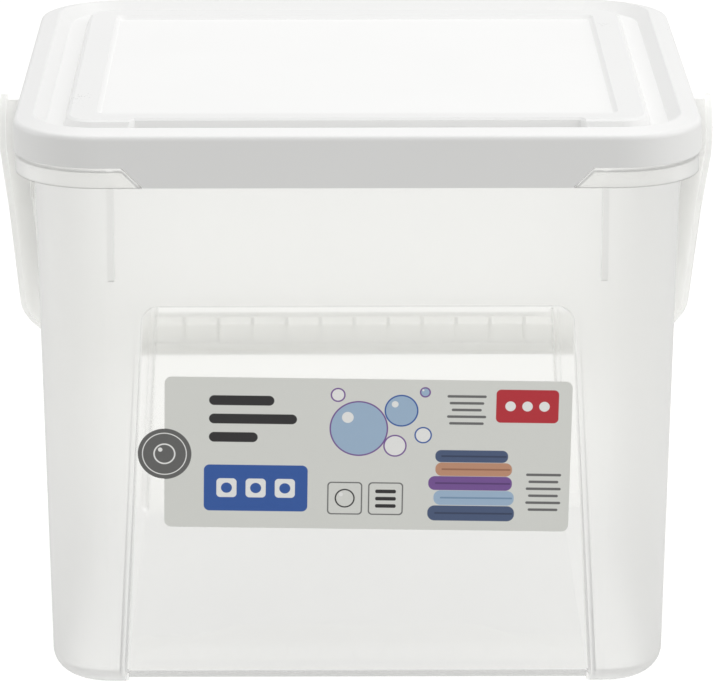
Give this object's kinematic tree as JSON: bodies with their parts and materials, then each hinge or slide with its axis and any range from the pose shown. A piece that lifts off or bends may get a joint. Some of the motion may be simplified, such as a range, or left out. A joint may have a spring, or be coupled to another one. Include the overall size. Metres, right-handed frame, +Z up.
{
  "type": "detergent box",
  "caption": "Tapered see-through storage box for washing powder with a lift-off white lid, a grip tab, a swinging bail handle and a film label.",
  "frame": {"origin": "centre of the flat underside, on the floor", "axes": "+Z up, front with the label and the grip tab faces -Y, +X to the right seen from the front"},
  "size_m": [0.2276, 0.2063, 0.18],
  "materials": {
    "natural_plastic": "natural see-through polypropylene, satin with polished front and back panels",
    "lid_plastic": "white polypropylene, smooth",
    "handle_plastic": "white polypropylene, smooth",
    "label_film": "printed film sticker"
  },
  "bodies": {
    "box": {"container": "natural_plastic", "label": "label_film"},
    "lid": {"lid": "lid_plastic"},
    "handle": {"handle": "handle_plastic"}
  },
  "joints": [
    {"name": "handle_swing", "type": "hinge", "parent": "box", "child": "handle", "pos_m": [0, 0, 0.1583], "axis": [1, 0, 0], "range_deg": [0, 268.8]},
    {"name": "lid_lift", "type": "slide", "parent": "box", "child": "lid", "axis": [0, 0, 1], "range_m": [0, 0.06]}
  ]
}
